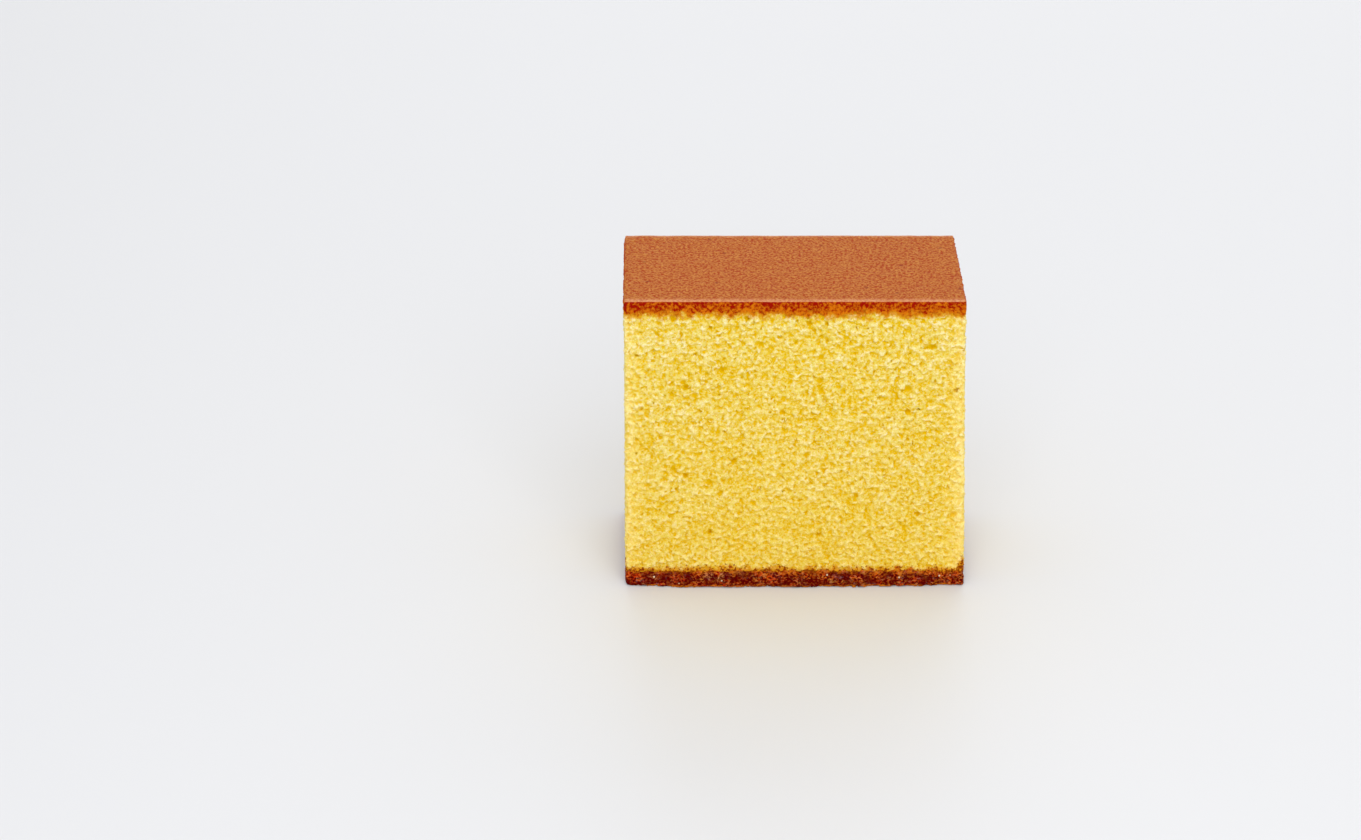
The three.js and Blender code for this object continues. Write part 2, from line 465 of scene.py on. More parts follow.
def store(sheet, geometry, name, value):
    """Keeps a value on each vertex under a name that the material reads."""
    inputs = {"Geometry": geometry, "Name": name}
    made = sheet.node("GeometryNodeStoreNamedAttribute", inputs, data_type="FLOAT", domain="POINT")
    sheet.link(value, next(s for s in made.inputs if s.name == "Value" and s.enabled))
    return made.outputs[0]


def grain_group():
    """Fine grain, larger mottling and scattered specks, each from 0 to 1."""
    inputs = {"Grain size": 0.3 * MM, "Mottle size": 4.0 * MM}
    outputs = dict.fromkeys(("Grain", "Mottle", "Speck"), "NodeSocketFloat")
    _, sheet, given, end = new_tree("Baked grain", "ShaderNodeTree", inputs, outputs)
    place = sheet.material_place()
    worms = sheet.noise(place, given["Grain size"], detail=1.0, distortion=0.6)
    patches = sheet.noise(place, given["Mottle size"], detail=3.0, roughness=0.6)
    specks = sheet.cells(place, sheet.times(given["Grain size"], SPECK_SPACING))["Distance"]
    sheet.link(sheet.remap(worms, 0.38, 0.62), end["Grain"])
    sheet.link(sheet.remap(patches, 0.3, 0.7), end["Mottle"])
    sheet.link(sheet.remap(specks, 0.12, 0.06), end["Speck"])


def baked_group():
    """The blotchy brown of crumb that baked against the skin: dark above, lighter below."""
    inputs = {"Dark": "NodeSocketColor", "Light": "NodeSocketColor", "Top": 0.0}
    _, sheet, given, end = new_tree("Baked crumb", "ShaderNodeTree", inputs, {"Colour": "NodeSocketColor"})
    place = sheet.material_place()
    below = sheet.subtract(given["Top"], sheet.split(place)[2])
    blotches = sheet.noise(place, BLOTCH_SIZE, detail=3.0, roughness=0.6)
    patches = sheet.noise(place, BLOTCH_SIZE * 4, detail=1.0)
    blotches = sheet.add(blotches, sheet.swing(patches, 0.14))
    lighter = sheet.remap(below, *BLOTCH_FADE, -0.06, 0.06)
    factor = sheet.remap(sheet.add(blotches, lighter), 0.4, 0.62)
    sheet.link(sheet.blend(factor, given["Dark"], given["Light"]), end["Colour"])


def baked_colour(sheet, look):
    """The baked crumb's colour in a material."""
    group = sheet.node("ShaderNodeGroup", node_tree=bpy.data.node_groups["Baked crumb"])
    group.inputs["Dark"].default_value = (*look.baked_colour, 1.0)
    group.inputs["Light"].default_value = (*look.toasted_colour, 1.0)
    group.inputs["Top"].default_value = SLICE_HEIGHT
    return group.outputs["Colour"]


def surface(name, rough, specular, grain_size, mottle_size):
    """A new material: its sheet, its Principled shader's inputs, and the grain group's outputs."""
    material = bpy.data.materials.new(name)
    material.use_nodes = True
    sheet = NodeSheet(material.node_tree)
    shader = material.node_tree.nodes["Principled BSDF"].inputs
    shader["Roughness"].default_value = rough
    shader["Specular IOR Level"].default_value = specular
    grain = sheet.node("ShaderNodeGroup", node_tree=bpy.data.node_groups["Baked grain"])
    grain.inputs["Grain size"].default_value = grain_size
    grain.inputs["Mottle size"].default_value = mottle_size
    return material, sheet, shader, grain.outputs


def roughen(sheet, shader, height, strength, depth):
    """Relief that is too fine for the mesh."""
    bump = sheet.node("ShaderNodeBump", {"Strength": strength, "Distance": depth, "Height": height})
    sheet.link(bump.outputs[0], shader["Normal"])


# ---- crumb

EDGE_GLOW = (1.1, 1.08, 0.98)  # light shines through the thin crumb at the upright edges
GLOW_START = 4.0 * MM  # from the sides, where that glow starts,
GLOW_FULL = 0.2 * MM  # and where it is full
WALL_DEPTHS = (-0.2 * MM, 0.06 * MM)  # below the cut, from a pale cell wall to the sponge in general,
PORE_DEPTHS = (0.0, 0.24 * MM)  # from there to the inside of a pore,
DEEP_DEPTHS = (0.35 * MM, 0.8 * MM)  # and on to the painted shade at the bottom of the deepest ones
BAKED_DEPTHS = (1.5 * MM, 2.3 * MM)  # below the skin, from baked brown to amber,
AMBER_DEPTHS = (2.0 * MM, 3.2 * MM)  # and from amber to yellow
CRUST_FADE = 1.2 * MM  # above the crust, from amber to yellow
FLECK_CLIMB = 2.4 * MM  # the flecks above the crust thin out over this height
EDGE_CLIMB = 2.0 * MM  # and climb this much farther up the upright edges
FLECK_SIZE = 0.5 * MM
FINE_SIZE = 0.37 * MM  # across one bump of the finest relief
RAGGED_SIZE = 1.4 * MM  # across one tooth where colours meet
TORN_SIZE = 0.68 * MM  # across one torn cell wall
CUT_WAVE = 7.0 * MM  # across one wave of the knife's cut,
CUT_WAVE_HEIGHT = 0.08 * MM  # and how far it swings to either side
CRUST_TUCK = 0.7 * MM  # the crumb's foot is drawn in this far behind the crust
PORE_BEND_SIZE = 0.6 * MM  # across one bend of a bubble's outline,
PORE_BEND = 1.3 * MM  # and how far it swings in all
PORE_LIP = 0.12 * MM  # rounds the mouths of the pores
LEAST_PART = 20000  # vertices: smaller islands are loose bits and sealed bubbles
# For each kind of bubble: its size by name, the spacing in sizes, and the share of places left empty
BUBBLES = (("Coarse pore", 3.6, 0.65), ("Middle pore", 2.8, 0.3), ("Fine pore", 2.5, 0.1))


def near_side(sheet, from_middle, width):
    """0 inside the slice and 1 at a side, from the distance to the middle plane."""
    return sheet.remap(sheet.absolute(from_middle), width / 2 - GLOW_START, width / 2 - GLOW_FULL)


def crumb_material(look, block, crust):
    """Yellow sponge: pale cell walls and golden pores, partly painted highlight and shade, baked brown under
    the skin, amber above the crust, and a painted glow at the upright edges.
    """
    material, sheet, shader, grain = surface(
        "Castella crumb", rough=0.7, specular=0.02, grain_size=0.3 * MM, mottle_size=6.0 * MM
    )
    shader["Subsurface Weight"].default_value = 0.4
    shader["Subsurface Radius"].default_value = (1.0, 0.75, 0.22)
    shader["Subsurface Scale"].default_value = 0.18 * MM
    place = sheet.material_place()
    x, y, z = sheet.split(place)
    depth = sheet.stored("cut_depth")
    fine = sheet.noise(place, FINE_SIZE, detail=2.0, roughness=0.6)
    ragged = sheet.noise(place, RAGGED_SIZE, detail=3.0, roughness=0.7)

    # Cell walls are pale at the cut: partly their own paler yellow, partly a painted highlight on the ridges.
    # Pores are golden: partly the sponge's own yellow, partly painted shade and warm light bounced inside
    # them. Faces that look down get painted shade in the pores' golden colour.
    wall_end = sheet.add(depth, sheet.swing(grain["Grain"], 0.12 * MM))
    wall_end = sheet.remap(wall_end, *WALL_DEPTHS)
    sponge = sheet.blend(wall_end, look.wall_colour, look.body_colour)
    # Painted shade: faces that look down take the golden colour of shaded crumb
    downward = sheet.split(sheet.node("ShaderNodeNewGeometry").outputs["Normal"])[2]
    sponge = sheet.blend(sheet.remap(downward, 0.0, -0.45, 0.0, 0.7), sponge, look.pore_colour)
    from_middle = sheet.add(x, (block.right_lean + block.right_skew) / 4)
    near_end = near_side(sheet, from_middle, block.width)
    upright_edge = sheet.smaller(near_end, near_side(sheet, y, block.thickness))
    corner = sheet.times(upright_edge, sheet.remap(ragged, 0.4, 0.6, 0.4, 1.0))
    # Painted shade and bounce light inside the pores, partly the sponge's own golden yellow
    hollow = sheet.add(depth, sheet.swing(fine, 0.5 * MM))
    hollow = sheet.remap(hollow, *PORE_DEPTHS, smooth=True)
    hollow = sheet.times(hollow, sheet.remap(corner, 0.0, 1.0, 1.0, 0.7))
    sponge = sheet.blend(hollow, sponge, look.pore_colour)
    # Painted shade: the bottom of the deepest pores is darker
    deep = sheet.remap(depth, *DEEP_DEPTHS, 0.0, 0.7)
    sponge = sheet.blend(deep, sponge, look.deep_shade_colour)
    towards_foot = sheet.remap(z, block.height * 0.85, block.height * 0.1)
    sponge = sheet.blend(towards_foot, sponge, look.foot_tint, mode="MULTIPLY")
    # Painted glow: the upright edges are paler and brighter, standing in for light that shines through the
    # thin crumb
    sponge = sheet.blend(sheet.times(corner, corner, 0.4), sponge, look.wall_colour)
    sponge = sheet.blend(corner, sponge, EDGE_GLOW, mode="MULTIPLY")

    # Under the skin the crumb is baked brown, then amber
    below_skin = sheet.subtract(block.height - 0.45 * MM, z)
    below_skin = sheet.add(below_skin, sheet.swing(ragged, 2.0 * MM))
    to_amber = sheet.remap(below_skin, *BAKED_DEPTHS)
    to_yellow = sheet.remap(below_skin, *AMBER_DEPTHS, smooth=True)
    top = sheet.blend(to_amber, baked_colour(sheet, look), look.amber_colour)
    sponge = sheet.blend(to_yellow, top, sponge)

    # Above the crust it is amber, with dark flecks
    climb = sheet.remap(upright_edge, 0.8, 1.0, 0.0, EDGE_CLIMB)
    above_crust = sheet.subtract(z, sheet.add(climb, crust.height - 0.3 * MM))
    above_crust = sheet.add(above_crust, sheet.swing(ragged, 1.8 * MM))
    from_crust = sheet.remap(above_crust, 0.0, CRUST_FADE, smooth=True)
    sponge = sheet.blend(from_crust, look.amber_colour, sponge)
    flecks = sheet.noise(place, FLECK_SIZE, detail=2.0, roughness=0.6)
    flecks = sheet.subtract(flecks, sheet.remap(above_crust, -0.5 * MM, FLECK_CLIMB, 0.0, 0.4))
    sponge = sheet.blend(sheet.remap(flecks, 0.42, 0.5, 0.0, 0.9), sponge, look.fleck_colour)
    sheet.link(sponge, shader["Base Color"])

    height = sheet.add(sheet.times(fine, -2.0), sheet.times(grain["Grain"], 0.3))
    roughen(sheet, shader, height, strength=0.32, depth=0.12 * MM)
    return material


def crumb_tree(sizes, material):
    """A solid block with bubbles cut out of its sides, sampled on a grid and turned into a mesh."""
    tree, sheet, given, end = shape_tree("Castella crumb", sizes)
    place = sheet.shape_place()
    x, y, z = sheet.split(place)
    side = side_distance(sheet, given, place)
    flare = sheet.remap(z, sheet.times(given["Height"], 0.8), sheet.times(given["Height"], 0.97), smooth=True)
    side = sheet.subtract(side, sheet.times(flare, given["Flare"]))
    depth = sheet.times(side, -1.0)

    # The torn surface that the knife leaves, and the flat ends inside skin and crust
    torn = sheet.noise(place, TORN_SIZE, detail=3.0, roughness=0.6)
    wavy = sheet.noise(place, CUT_WAVE, detail=1.0)
    calm = sheet.remap(z, sheet.times(given["Height"], 0.985), sheet.times(given["Height"], 0.95), 0.5, 1.0)
    cut = sheet.add(side, sheet.swing(torn, sheet.times(given["Cut roughness"], calm)))
    cut = sheet.add(cut, sheet.swing(wavy, CUT_WAVE_HEIGHT))
    above_foot = sheet.times(given["Foot level"], 1.45)
    cut = sheet.add(cut, sheet.remap(z, given["Foot level"], above_foot, CRUST_TUCK, 0.0))
    ends = sheet.larger(sheet.subtract(z, given["Top level"]), sheet.subtract(given["Foot level"], z))
    halves = sheet.larger(sheet.subtract(y, given["Back limit"]), sheet.subtract(given["Front limit"], y))
    block = sheet.larger(cut, sheet.larger(ends, halves))

    # Bubbles of three sizes. They narrow below the cut, widen towards the upper third, and are smaller
    # just under the skin, near the crust and at the upright edges.
    bent = sheet.shifted(place, PORE_BEND_SIZE, detail=2.0, reach=PORE_BEND)
    up = sheet.divide(z, given["Height"])
    openness = sheet.times(sheet.remap(up, 0.05, 0.7, 0.86, 1.04), sheet.remap(up, 0.985, 0.95, 0.6, 1.0))
    from_end = sheet.subtract(sheet.times(given["Width"], 0.5), sheet.absolute(x))
    from_cut = sheet.subtract(sheet.times(given["Thickness"], 0.5), sheet.absolute(y))
    from_edge = sheet.larger(from_end, from_cut)
    openness = sheet.times(openness, sheet.remap(from_edge, 0.5 * MM, 3.0 * MM, 0.8, 1.0))
    bubbles = None
    for radius, spacing, empty in BUBBLES:
        apart = sheet.times(given[radius], spacing)
        cells = sheet.cells(bent, apart)
        chance = sheet.split(cells["Color"])[0]
        size = sheet.times(sheet.remap(chance, empty, empty + 0.3, 0.0, 1.1), given[radius])
        away = sheet.times(cells["Distance"], apart)
        bubble = sheet.subtract(away, sheet.times(size, openness))
        bubbles = bubble if bubbles is None else sheet.smaller(bubbles, bubble)
    bubbles = sheet.add(bubbles, sheet.times(sheet.larger(depth, 0.0), given["Pore slope"]))
    solid = sheet.math("SMOOTH_MAX", block, sheet.times(bubbles, -1.0), PORE_LIP)

    lows = (None, sheet.subtract(given["Front limit"], GRID_MARGIN), given["Foot level"])
    highs = (None, sheet.add(given["Back limit"], GRID_MARGIN), given["Top level"])
    sponge = grid_surface(sheet, given, solid, lows, highs)

    # Only the slice itself stays
    island = sheet.node("GeometryNodeInputMeshIsland").outputs["Island Index"]
    count = sheet.node("GeometryNodeAccumulateField", data_type="INT", domain="POINT")
    count.inputs["Value"].default_value = 1
    sheet.link(island, count.inputs["Group ID"])
    limits = {2: count.outputs["Total"], 3: LEAST_PART}
    small = sheet.node("FunctionNodeCompare", limits, data_type="INT", operation="LESS_THAN")
    whole = sheet.node("GeometryNodeDeleteGeometry", {0: sponge, 1: small.outputs[0]}, domain="POINT")
    marked = store(sheet, whole.outputs[0], "cut_depth", depth)
    finish_tree(sheet, marked, material, end)
    return tree


class CASTELLA_OT_crumb(bpy.types.Operator):
    """Build the porous yellow crumb"""

    bl_idname = "castella.crumb"
    bl_label = "Build crumb"

    def execute(self, context):
        block = context.scene.castella_block
        look = context.scene.castella_crumb
        crust = context.scene.castella_crust
        skin = context.scene.castella_skin
        sizes = {
            **sizes_of(block, *BLOCK_SIZES, "corner_radius"),
            **sizes_of(look, "coarse_pore", "middle_pore", "fine_pore", "pore_slope"),
            **sizes_of(look, "roughness", "flare", "voxel"),
            "Foot level": crust.height * 0.6,
            "Top level": block.height - skin.thickness * 0.6,
            "Front limit": -block.thickness,
            "Back limit": block.thickness,
        }
        tree = crumb_tree(sizes, crumb_material(look, block, crust))
        overlap = 1.5 * look.voxel
        attach(grow("crumb_front", tree, {**sizes, "Back limit": overlap}, look.triangles))
        attach(grow("crumb_back", tree, {**sizes, "Front limit": -overlap}, look.triangles))
        return {"FINISHED"}


# ---- top skin

SKIN_GRID = (234, 104, 5)  # vertices of the skin's plate across, along and through
WRINKLE_SIZE = 0.5 * MM  # across one wrinkle
SWELL_SIZE = 6.0 * MM  # across one slow swell of the top,
SWELL_HEIGHT = 0.06 * MM  # and how far it rises and sinks
RIM_WANDER_SIZE = 3.0 * MM  # across one bend of the rim's inner edge,
RIM_WANDER = 0.35 * MM  # and how far it wanders to and fro


def skin_material(look, crumb_look):
    """Terracotta baked skin: fine grain, faint mottling, tiny dark specks and a painted highlight on the
    rolled edge.
    """
    material, sheet, shader, grain = surface(
        "Castella skin", rough=0.5, specular=0.05, grain_size=0.42 * MM, mottle_size=3.0 * MM
    )
    place = sheet.material_place()
    ridges = sheet.times(grain["Grain"], sheet.remap(grain["Mottle"], 0.0, 1.0, 0.75, 1.0))
    colour = sheet.blend(ridges, look.groove_colour, look.base_colour)
    colour = sheet.blend(sheet.times(grain["Speck"], 0.6), colour, look.speck_colour)
    # Painted highlight along the rolled edge at the cuts, broken up by noise
    highlight_breaks = sheet.remap(sheet.noise(place, 0.45 * MM, detail=2.0), 0.38, 0.6, 0.45, 1.0)
    colour = sheet.blend(sheet.times(sheet.stored("rim"), highlight_breaks, 0.9), colour, look.rim_highlight_colour)
    colour = sheet.blend(sheet.stored("side"), colour, baked_colour(sheet, crumb_look))
    sheet.link(colour, shader["Base Color"])
    roughen(sheet, shader, grain["Grain"], strength=0.5, depth=0.08 * MM)
    return material


def skin_tree(sizes, material):
    """A thin closed plate with a rolled edge, a drooping rim and fine wrinkles."""
    tree, sheet, given, end = shape_tree("Castella skin", sizes)
    overhang = sheet.times(given["Overhang"], 2.0)
    width = sheet.add(given["Width"], overhang)
    depth = sheet.add(given["Thickness"], overhang)
    box = (width, depth, given["Skin"])
    mesh, place, outward = rounded_box(sheet, SKIN_GRID, box, given["Edge radius"])
    middle = sheet.subtract(given["Height"], sheet.times(given["Skin"], 0.5))
    x, y, _ = sheet.split(place)
    inward_x = sheet.subtract(sheet.times(width, 0.5), sheet.absolute(x))
    inward_y = sheet.subtract(sheet.times(depth, 0.5), sheet.absolute(y))
    inward = sheet.smaller(inward_x, inward_y)
    wander = sheet.swing(sheet.noise(place, RIM_WANDER_SIZE, detail=1.0), RIM_WANDER)
    near_rim = sheet.remap(sheet.add(inward, wander), 0.0, given["Rim"], 1.0, 0.0)
    highlight_band = sheet.remap(sheet.add(inward_y, wander), 0.0, given["Rim"], 1.0, 0.0)
    droop = sheet.times(sheet.math("POWER", near_rim, 1.6), given["Droop"])
    swell = sheet.swing(sheet.noise(place, SWELL_SIZE, detail=2.0), SWELL_HEIGHT)
    fine = sheet.noise(place, WRINKLE_SIZE, detail=2.0, roughness=0.6, distortion=0.5)
    raised = sheet.swing(fine, sheet.times(given["Wrinkle"], 1.5))
    raised = sheet.vector("MULTIPLY", outward, sheet.join(raised, raised, raised))
    x, y, z = sheet.split(sheet.vector("ADD", place, raised))
    level = sheet.add(sheet.add(z, middle), sheet.subtract(swell, sheet.add(droop, SWELL_HEIGHT)))
    moved, _ = leaned(sheet, given, sheet.join(x, y, level))
    # The band that carries the painted highlight of the rolled edge
    mesh = store(sheet, mesh, "rim", highlight_band)
    upward = sheet.split(outward)[2]
    mesh = store(sheet, mesh, "side", sheet.remap(upward, 0.6, 0.3))
    shaped = sheet.node("GeometryNodeSetPosition", {"Geometry": mesh, "Position": moved})
    finish_tree(sheet, shaped.outputs[0], material, end)
    return tree


class CASTELLA_OT_skin(bpy.types.Operator):
    """Build the baked top skin"""

    bl_idname = "castella.skin"
    bl_label = "Build top skin"

    def execute(self, context):
        block = context.scene.castella_block
        look = context.scene.castella_skin
        sizes = {
            **sizes_of(block, *BLOCK_SIZES),
            **sizes_of(look, "edge_radius", "overhang", "wrinkle", "droop", "rim"),
            "Skin": look.thickness,
        }
        material = skin_material(look, context.scene.castella_crumb)
        attach(grow("top_skin", skin_tree(sizes, material), sizes))
        return {"FINISHED"}


# ---- foot crust

FLANGE_HEIGHTS = (1.1 * MM, 0.4 * MM)  # where the dry rim at the plate starts, and where it is full
BOW_WAVE = 8.0 * MM  # across one wave of the knife cut's bow,
BOW_WAVE_HEIGHT = 0.5 * MM  # and how far it swings to either side
ROUGH_SIZE = 0.7 * MM  # across the small bumps on the lumps
LUMP_BEND_SIZE = 1.2 * MM  # across one bend of a lump's outline,
LUMP_BEND = 1.6 * MM  # and how far it swings in all
LUMP_SQUASH = 1.5  # how many times wider than tall a lump is
UPPER_TOOTH = 1.4 * MM  # across one tooth of the upper edge,
UPPER_WANDER = 2.6 * MM  # and how far it rises and falls at most
LOWER_TOOTH = 2.2 * MM  # across one tooth of the lower edge,
LOWER_WIDTH = 0.8 * MM  # and how far in from the side it lifts off the plate
PLATE_GAP = 0.01 * MM  # keeps the flat underside clear of the plate
RED_END = 8.0 * MM  # the crust gets redder over this length at its left end
CURD_SIZE = 0.5 * MM  # across one patch of light or dark,
CURD_SQUASH = 1.6  # and how many times wider than tall it is
THREAD_SPACING = 1.1 * MM
WET_SIZE = 0.8 * MM  # across one moist patch
RIM_PATCH = 2.4 * MM  # across one toasted stretch of the rim at the plate
RAGGED_LINE = 1.0 * MM  # across one tooth where its colours meet
SUGAR_AND_GLINT_SPACING = 1.5 * MM  # between cream specks: stray sugar crystals and painted glints


def crust_material(look, block):
    """Dark caramelised lumps with painted shade in the creases, moist red places, amber threads, a toasted
    rim, painted sheen, and cream specks that are partly sugar and partly painted glints.
    """
    material, sheet, shader, grain = surface(
        "Castella crust", rough=0.4, specular=0.02, grain_size=0.3 * MM, mottle_size=1.3 * MM
    )
    shader["Coat Roughness"].default_value = 0.15
    place = sheet.material_place()
    x, _, z = sheet.split(place)
    squashed = sheet.vector("MULTIPLY", place, (1.0, 1.0, CURD_SQUASH))
    ragged = sheet.noise(place, RAGGED_LINE, detail=3.0, roughness=0.7)
    curdled = sheet.noise(squashed, CURD_SIZE, detail=2.0, roughness=0.55, distortion=0.6)
    lump = sheet.stored("lump")
    skirt = sheet.stored("skirt")

    # Curdled patches of light and dark. Each lump has its own tone; some are red, and on some a painted sheen
    # stands for a reflection of the room.
    light = sheet.blend(sheet.remap(lump, 0.2, 0.1, 0.0, 0.6), look.warm_colour, look.sheen_colour)
    left_end = sheet.remap(x, RED_END - block.width / 2, RED_END / 2 - block.width / 2, 0.0, 0.4)
    light = sheet.blend(sheet.remap(sheet.add(lump, left_end), 0.7, 0.78), light, look.red_colour)
    # Painted highlight on the lightest curds
    light = sheet.blend(sheet.remap(curdled, 0.6, 0.68, 0.0, 0.7), light, look.sheen_colour)
    # Painted shade: darker towards the plate, lighter towards the top
    lit = sheet.add(curdled, sheet.remap(z, 0.6 * MM, 2.4 * MM, -0.04, 0.05))
    lit = sheet.add(lit, sheet.swing(lump, 0.04))
    colour = sheet.blend(sheet.remap(lit, 0.48, 0.53), look.dark_colour, light)
    threads = sheet.noise(squashed, THREAD_SPACING, detail=2.0, roughness=0.6, distortion=0.6)
    threads = sheet.remap(sheet.absolute(sheet.subtract(threads, 0.52)), 0.035, 0.01)
    threads = sheet.times(threads, sheet.remap(curdled, 0.45, 0.55, 0.0, 0.7))
    colour = sheet.blend(threads, colour, look.amber_colour)
    # Painted sheen in small flecks, a reflection on the moist crust
    dry = sheet.times(sheet.remap(grain["Grain"], 0.7, 1.0), sheet.remap(grain["Mottle"], 0.45, 0.7))
    colour = sheet.blend(sheet.times(dry, 0.4), colour, look.sheen_colour)
    # Painted shade: the creases between the lumps are darkened
    colour = sheet.blend(sheet.times(sheet.stored("crease"), 0.9), colour, look.dark_colour)

    # The upper edge and the rim at the plate are toasted. Cream specks here and there are partly sugar
    # crystals and partly painted glints.
    upper = sheet.remap(sheet.add(z, sheet.swing(ragged, 1.8 * MM)), look.height - 0.9 * MM, look.height)
    upper = sheet.times(upper, sheet.remap(curdled, 0.42, 0.52, 0.3, 0.9))
    colour = sheet.blend(upper, colour, look.toasted_colour)
    shade = sheet.times(sheet.remap(z, 1.3 * MM, 0.7 * MM, 0.0, 0.25), skirt)
    colour = sheet.blend(shade, colour, look.dark_colour)
    wavy_z = sheet.add(z, sheet.swing(ragged, 0.3 * MM))
    rim = sheet.smaller(sheet.remap(wavy_z, 0.05 * MM, 0.15 * MM), sheet.remap(wavy_z, 0.45 * MM, 0.3 * MM))
    patchy = sheet.noise(place, RIM_PATCH, detail=2.0, roughness=0.6)
    rim = sheet.times(rim, skirt, sheet.remap(patchy, 0.42, 0.55, 0.0, 0.9))
    colour = sheet.blend(rim, colour, look.toasted_colour)
    # Painted glints: cream specks that stand for sugar crystals and wet highlights
    sugar = sheet.cells(place, SUGAR_AND_GLINT_SPACING)
    crystal_and_glint = sheet.remap(sugar["Distance"], 0.13, 0.08)
    crystal_and_glint = sheet.times(crystal_and_glint, sheet.remap(sheet.split(sugar["Color"])[0], 0.55, 0.6, 0.0, 0.9))
    colour = sheet.blend(crystal_and_glint, colour, look.sugar_and_glint_colour)
    sheet.link(colour, shader["Base Color"])

    # Moist patches shine
    wet = sheet.noise(squashed, WET_SIZE, detail=2.0, roughness=0.6)
    sheet.link(sheet.remap(wet, 0.5, 0.6, 0.5, 0.3), shader["Roughness"])
    sheet.link(sheet.remap(wet, 0.62, 0.68, 0.0, 0.6), shader["Coat Weight"])
    height = sheet.add(sheet.times(curdled, 1.5), sheet.times(grain["Grain"], 0.6))
    roughen(sheet, shader, height, strength=0.9, depth=0.2 * MM)
    return material


def crust_tree(sizes, material):
    """A slab of caramelised lumps with a ragged upper and lower edge, sampled on a grid."""
    tree, sheet, given, end = shape_tree("Castella crust", sizes)
    place = sheet.shape_place()
    x, y, z = sheet.split(place)
    rough = sheet.noise(place, ROUGH_SIZE, detail=3.0, roughness=0.6)

    # It bows out along the two knife cuts, and a thin rim stands out at the plate
    across = sheet.divide(sheet.add(x, given["Bow shift"]), sheet.times(given["Width"], 0.5))
    arch = sheet.larger(sheet.subtract(1.0, sheet.times(across, across)), 0.0)
    lower = sheet.remap(z, given["Crust"], sheet.times(given["Crust"], 0.15), 0.2, 1.0)
    bow = sheet.times(arch, given["Bow"], lower)
    flange = sheet.remap(z, *FLANGE_HEIGHTS, smooth=True)
    flange = sheet.times(flange, sheet.remap(rough, 0.35, 0.55, 0.5, 1.0))
    flange = sheet.times(flange, sheet.remap(arch, 0.0, 0.6, 0.6, 1.0))
    forward = sheet.add(bow, sheet.times(flange, given["Flange"]))
    forward = sheet.add(forward, sheet.swing(sheet.noise(place, BOW_WAVE, detail=1.0), BOW_WAVE_HEIGHT))
    bulged = sheet.subtract(y, sheet.times(sheet.math("SIGN", y), sheet.larger(forward, 0.0)))
    side = side_distance(sheet, given, sheet.join(x, bulged, z))

    # Its sides are lumps with creases between them
    bent = sheet.shifted(place, LUMP_BEND_SIZE, detail=1.0, reach=LUMP_BEND)
    bent = sheet.vector("MULTIPLY", bent, (1.0, 1.0, LUMP_SQUASH))
    lumps = sheet.cells(bent, given["Lump width"])
    crease = sheet.remap(lumps["Distance"], 0.35, 0.75)
    lumpy = sheet.add(side, sheet.times(sheet.subtract(crease, 0.3), given["Lump height"]))
    lumpy = sheet.add(lumpy, sheet.swing(rough, sheet.times(given["Lump height"], 0.9)))
    farthest = sheet.add(sheet.times(given["Thickness"], 0.5), given["Reach"])
    lumpy = sheet.larger(lumpy, sheet.subtract(sheet.absolute(y), farthest))
    thinning = sheet.remap(z, sheet.times(given["Crust"], 0.7), given["Crust"], 0.0, 0.25 * MM)
    lumpy = sheet.add(lumpy, thinning)

    # The upper edge wanders, and the lower one lifts off the plate here and there
    wander = sheet.noise(place, UPPER_TOOTH, detail=3.0, roughness=0.65)
    top = sheet.add(sheet.subtract(z, given["Crust"]), sheet.swing(wander, UPPER_WANDER))
    edge = sheet.remap(side, -LOWER_WIDTH, 0.0)
    lift = sheet.remap(sheet.noise(place, LOWER_TOOTH, detail=3.0, roughness=0.65), 0.4, 0.6, 0.3, 1.0)
    lift = sheet.add(sheet.times(edge, lift, given["Foot lift"]), PLATE_GAP)
    solid = sheet.math("SMOOTH_MAX", lumpy, sheet.larger(top, sheet.subtract(lift, z)), 0.06 * MM)
    highest = sheet.add(given["Crust"], 0.5 * MM)
    slab = grid_surface(sheet, given, solid, (None, None, 0.0), (None, None, highest))
    slab = store(sheet, slab, "crease", crease)
    slab = store(sheet, slab, "lump", sheet.split(lumps["Color"])[0])
    slab = store(sheet, slab, "skirt", sheet.remap(side, -0.5 * MM, -0.2 * MM))
    finish_tree(sheet, slab, material, end)
    return tree


class CASTELLA_OT_crust(bpy.types.Operator):
    """Build the dark foot crust"""

    bl_idname = "castella.crust"
    bl_label = "Build foot crust"

    def execute(self, context):
        block = context.scene.castella_block
        look = context.scene.castella_crust
        sizes = {
            **sizes_of(block, *BLOCK_SIZES, "corner_radius"),
            **sizes_of(look, "bow", "bow_shift", "flange", "reach", "foot_lift"),
            **sizes_of(look, "lump_width", "lump_height", "voxel"),
            "Crust": look.height,
        }
        tree = crust_tree(sizes, crust_material(look, block))
        attach(grow("foot_crust", tree, sizes, look.triangles))
        return {"FINISHED"}


# ---- stage

FLOOR_REACH = 3.0  # from the middle to each side
SLICE_MIDDLE = (0.0, 0.0, 27.0 * MM)  # the lights look here
CAMERA_PLACE = (-20.28 * MM, -802.25 * MM, 433.8 * MM)
CAMERA_PITCH = 27.0  # degrees below level
CAMERA_TURN = -0.04  # degrees to the left of straight ahead
SENSOR_WIDTH = 36.0  # in millimetres


def soft_light(name, power, size, place):
    """A square area light that looks at the slice."""
    lamp = bpy.data.lights.new(name, "AREA")
    lamp.energy = power
    lamp.size = size
    light = bpy.data.objects.new(name, lamp)
    light.location = place
    x, y, z = [SLICE_MIDDLE[i] - place[i] for i in range(3)]
    light.rotation_euler = (math.atan2(math.hypot(x, y), -z), 0.0, math.atan2(-x, y))
    bpy.context.scene.collection.objects.link(light)


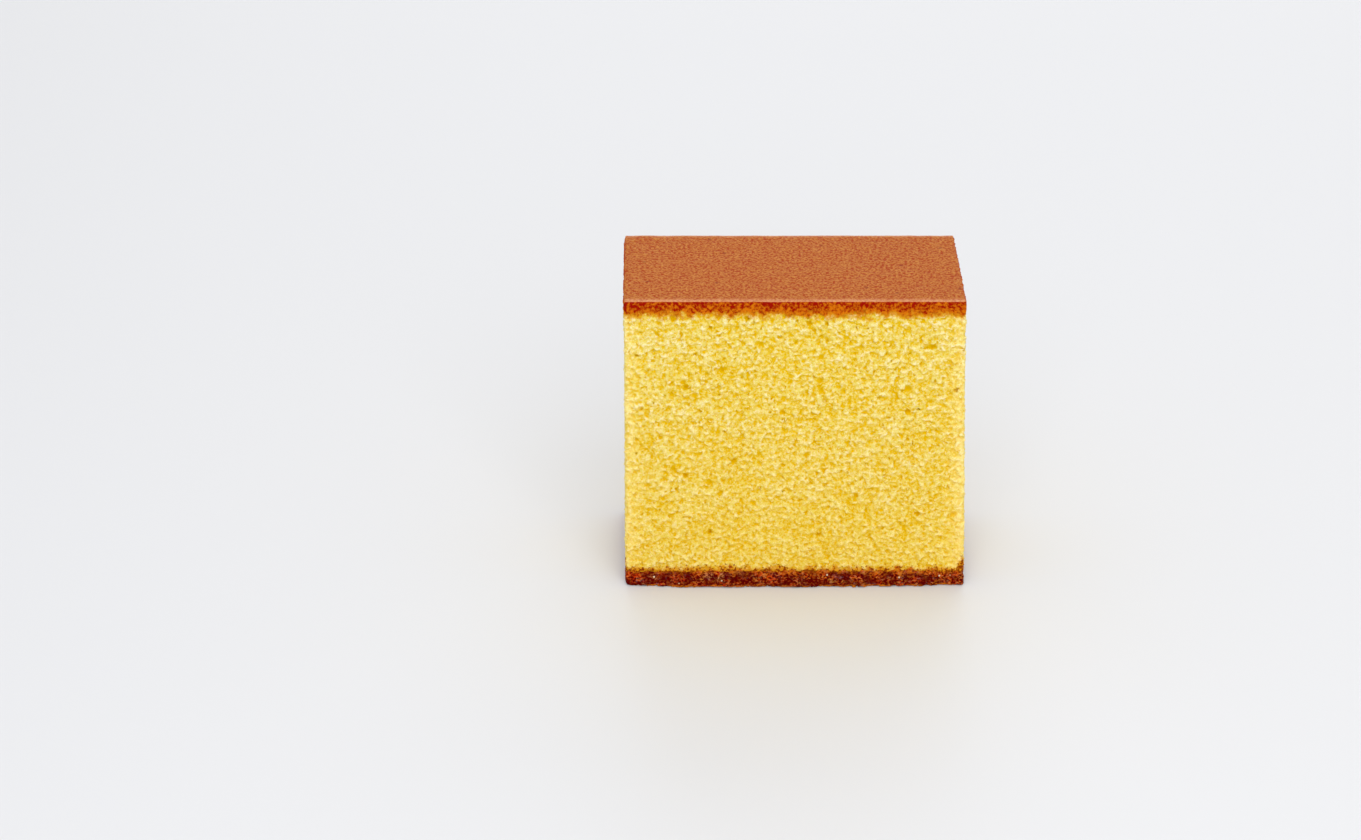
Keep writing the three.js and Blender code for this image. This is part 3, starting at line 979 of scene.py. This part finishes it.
class CASTELLA_OT_stage(bpy.types.Operator):
    """Build the floor, the lights and the camera"""

    bl_idname = "castella.stage"
    bl_label = "Build stage"

    def execute(self, context):
        look = context.scene.castella_stage
        floor_mesh = bpy.data.meshes.new("floor")
        corners = [(x * FLOOR_REACH, y * FLOOR_REACH, 0) for x, y in ((-1, -1), (1, -1), (1, 1), (-1, 1))]
        floor_mesh.from_pydata(corners, [], [(0, 1, 2, 3)])
        floor = bpy.data.objects.new("floor", floor_mesh)
        context.scene.collection.objects.link(floor)
        material = bpy.data.materials.new("Pale floor")
        material.use_nodes = True
        shader = material.node_tree.nodes["Principled BSDF"].inputs
        shader["Base Color"].default_value = (*look.floor_colour, 1.0)
        shader["Roughness"].default_value = 0.5
        floor_mesh.materials.append(material)

        soft_light("back_light", look.back_power, size=0.6, place=(-0.15, 0.33, 0.72))
        soft_light("rear_light", look.rear_power, size=0.8, place=(0.15, 0.85, 0.34))
        soft_light("top_light", look.top_power, size=0.7, place=(0.06, -0.60, 0.74))
        soft_light("front_light", look.front_power, size=0.8, place=(0.10, -0.90, 0.30))

        world = bpy.data.worlds.new("Pale room")
        world.use_nodes = True
        background = world.node_tree.nodes["Background"].inputs
        background["Color"].default_value = (1.0, 1.0, 1.0, 1.0)
        background["Strength"].default_value = look.world_strength
        context.scene.world = world
        context.scene.view_settings.view_transform = "Standard"

        lens = bpy.data.cameras.new("camera")
        lens.lens = look.lens
        lens.sensor_width = SENSOR_WIDTH
        camera = bpy.data.objects.new("camera", lens)
        camera.location = CAMERA_PLACE
        camera.rotation_euler = (math.radians(90 - CAMERA_PITCH), 0.0, math.radians(CAMERA_TURN))
        context.scene.collection.objects.link(camera)
        context.scene.camera = camera
        return {"FINISHED"}


# ---- panel and registration


class CASTELLA_PT_panel(bpy.types.Panel):
    """The slice's operators and sizes in the sidebar"""

    bl_label = "Castella"
    bl_space_type = "VIEW_3D"
    bl_region_type = "UI"
    bl_category = "Castella"

    def draw(self, context):
        for operator in OPERATORS:
            self.layout.operator(operator.bl_idname)
        for name, group in PROPERTY_GROUPS.items():
            box = self.layout.box()
            box.label(text=group.__doc__)
            for prop in group.__annotations__:
                box.prop(getattr(context.scene, name), prop)


PROPERTY_GROUPS = {
    "castella_block": CastellaBlock,
    "castella_crumb": CastellaCrumb,
    "castella_skin": CastellaSkin,
    "castella_crust": CastellaCrust,
    "castella_stage": CastellaStage,
}
OPERATORS = [CASTELLA_OT_stage, CASTELLA_OT_crumb, CASTELLA_OT_skin, CASTELLA_OT_crust]


def register():
    for name, group in PROPERTY_GROUPS.items():
        bpy.utils.register_class(group)
        setattr(bpy.types.Scene, name, PointerProperty(type=group))
    for operator in OPERATORS:
        bpy.utils.register_class(operator)
    bpy.utils.register_class(CASTELLA_PT_panel)


def unregister():
    bpy.utils.unregister_class(CASTELLA_PT_panel)
    for operator in reversed(OPERATORS):
        bpy.utils.unregister_class(operator)
    for name, group in reversed(PROPERTY_GROUPS.items()):
        delattr(bpy.types.Scene, name)
        bpy.utils.unregister_class(group)


def main():
    register()
    lean_group()
    grain_group()
    baked_group()
    bpy.ops.castella.stage()
    bpy.ops.castella.crumb()
    bpy.ops.castella.skin()
    bpy.ops.castella.crust()


if __name__ == "__main__":
    main()
